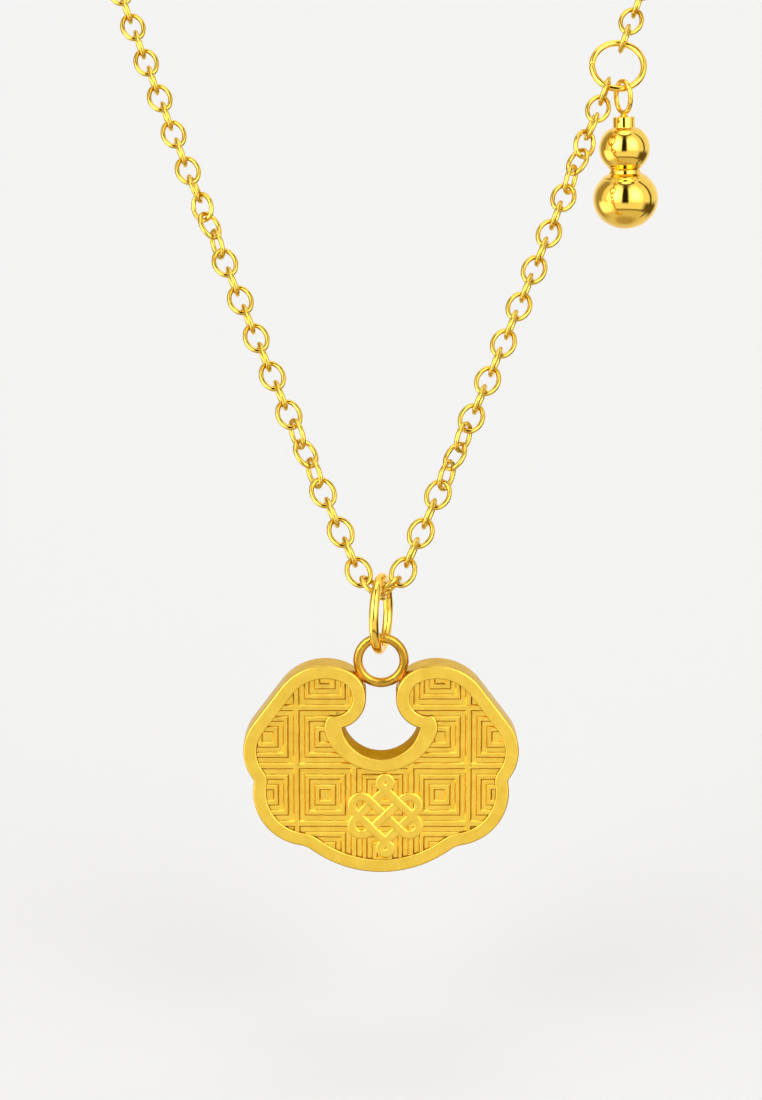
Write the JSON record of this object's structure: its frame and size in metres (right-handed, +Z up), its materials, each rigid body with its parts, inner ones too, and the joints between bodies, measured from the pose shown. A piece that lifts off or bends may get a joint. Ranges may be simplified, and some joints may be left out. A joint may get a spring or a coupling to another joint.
{
  "type": "padlock necklace",
  "caption": "Necklace with a cloud-shaped lock pendant on an oval jump ring, a closed cable chain and a gourd charm on a side ring",
  "frame": {"origin": "the middle of the clasp at the nape of the neck, where the necklace rests", "axes": "+Z up, -Y the way the lock's face looks, +X towards the strand with the gourd charm"},
  "size_m": [0.1006, 0.1091, 0.1836],
  "materials": {
    "satin_gold": "fine satin grain, polished edges",
    "polished_gold": "polished",
    "chain_gold": "polished"
  },
  "bodies": {
    "necklace": {"chain_left": "chain_gold", "chain_right": "chain_gold", "side_ring": "polished_gold", "gourd_charm": "polished_gold", "clasp": "polished_gold"},
    "bail": {"bail_ring": "polished_gold"},
    "lock": {"lock": "satin_gold"}
  },
  "joints": [
    {"name": "bail_swing", "type": "hinge", "parent": "necklace", "child": "bail", "pos_m": [0, -0.10427, -0.15679], "axis": [0.9744, -0.225, 0], "range_deg": [-20, 20]},
    {"name": "lock_swing", "type": "hinge", "parent": "bail", "child": "lock", "pos_m": [0, -0.10427, -0.16174], "axis": [0, 1, 0], "range_deg": [-30, 30]}
  ]
}
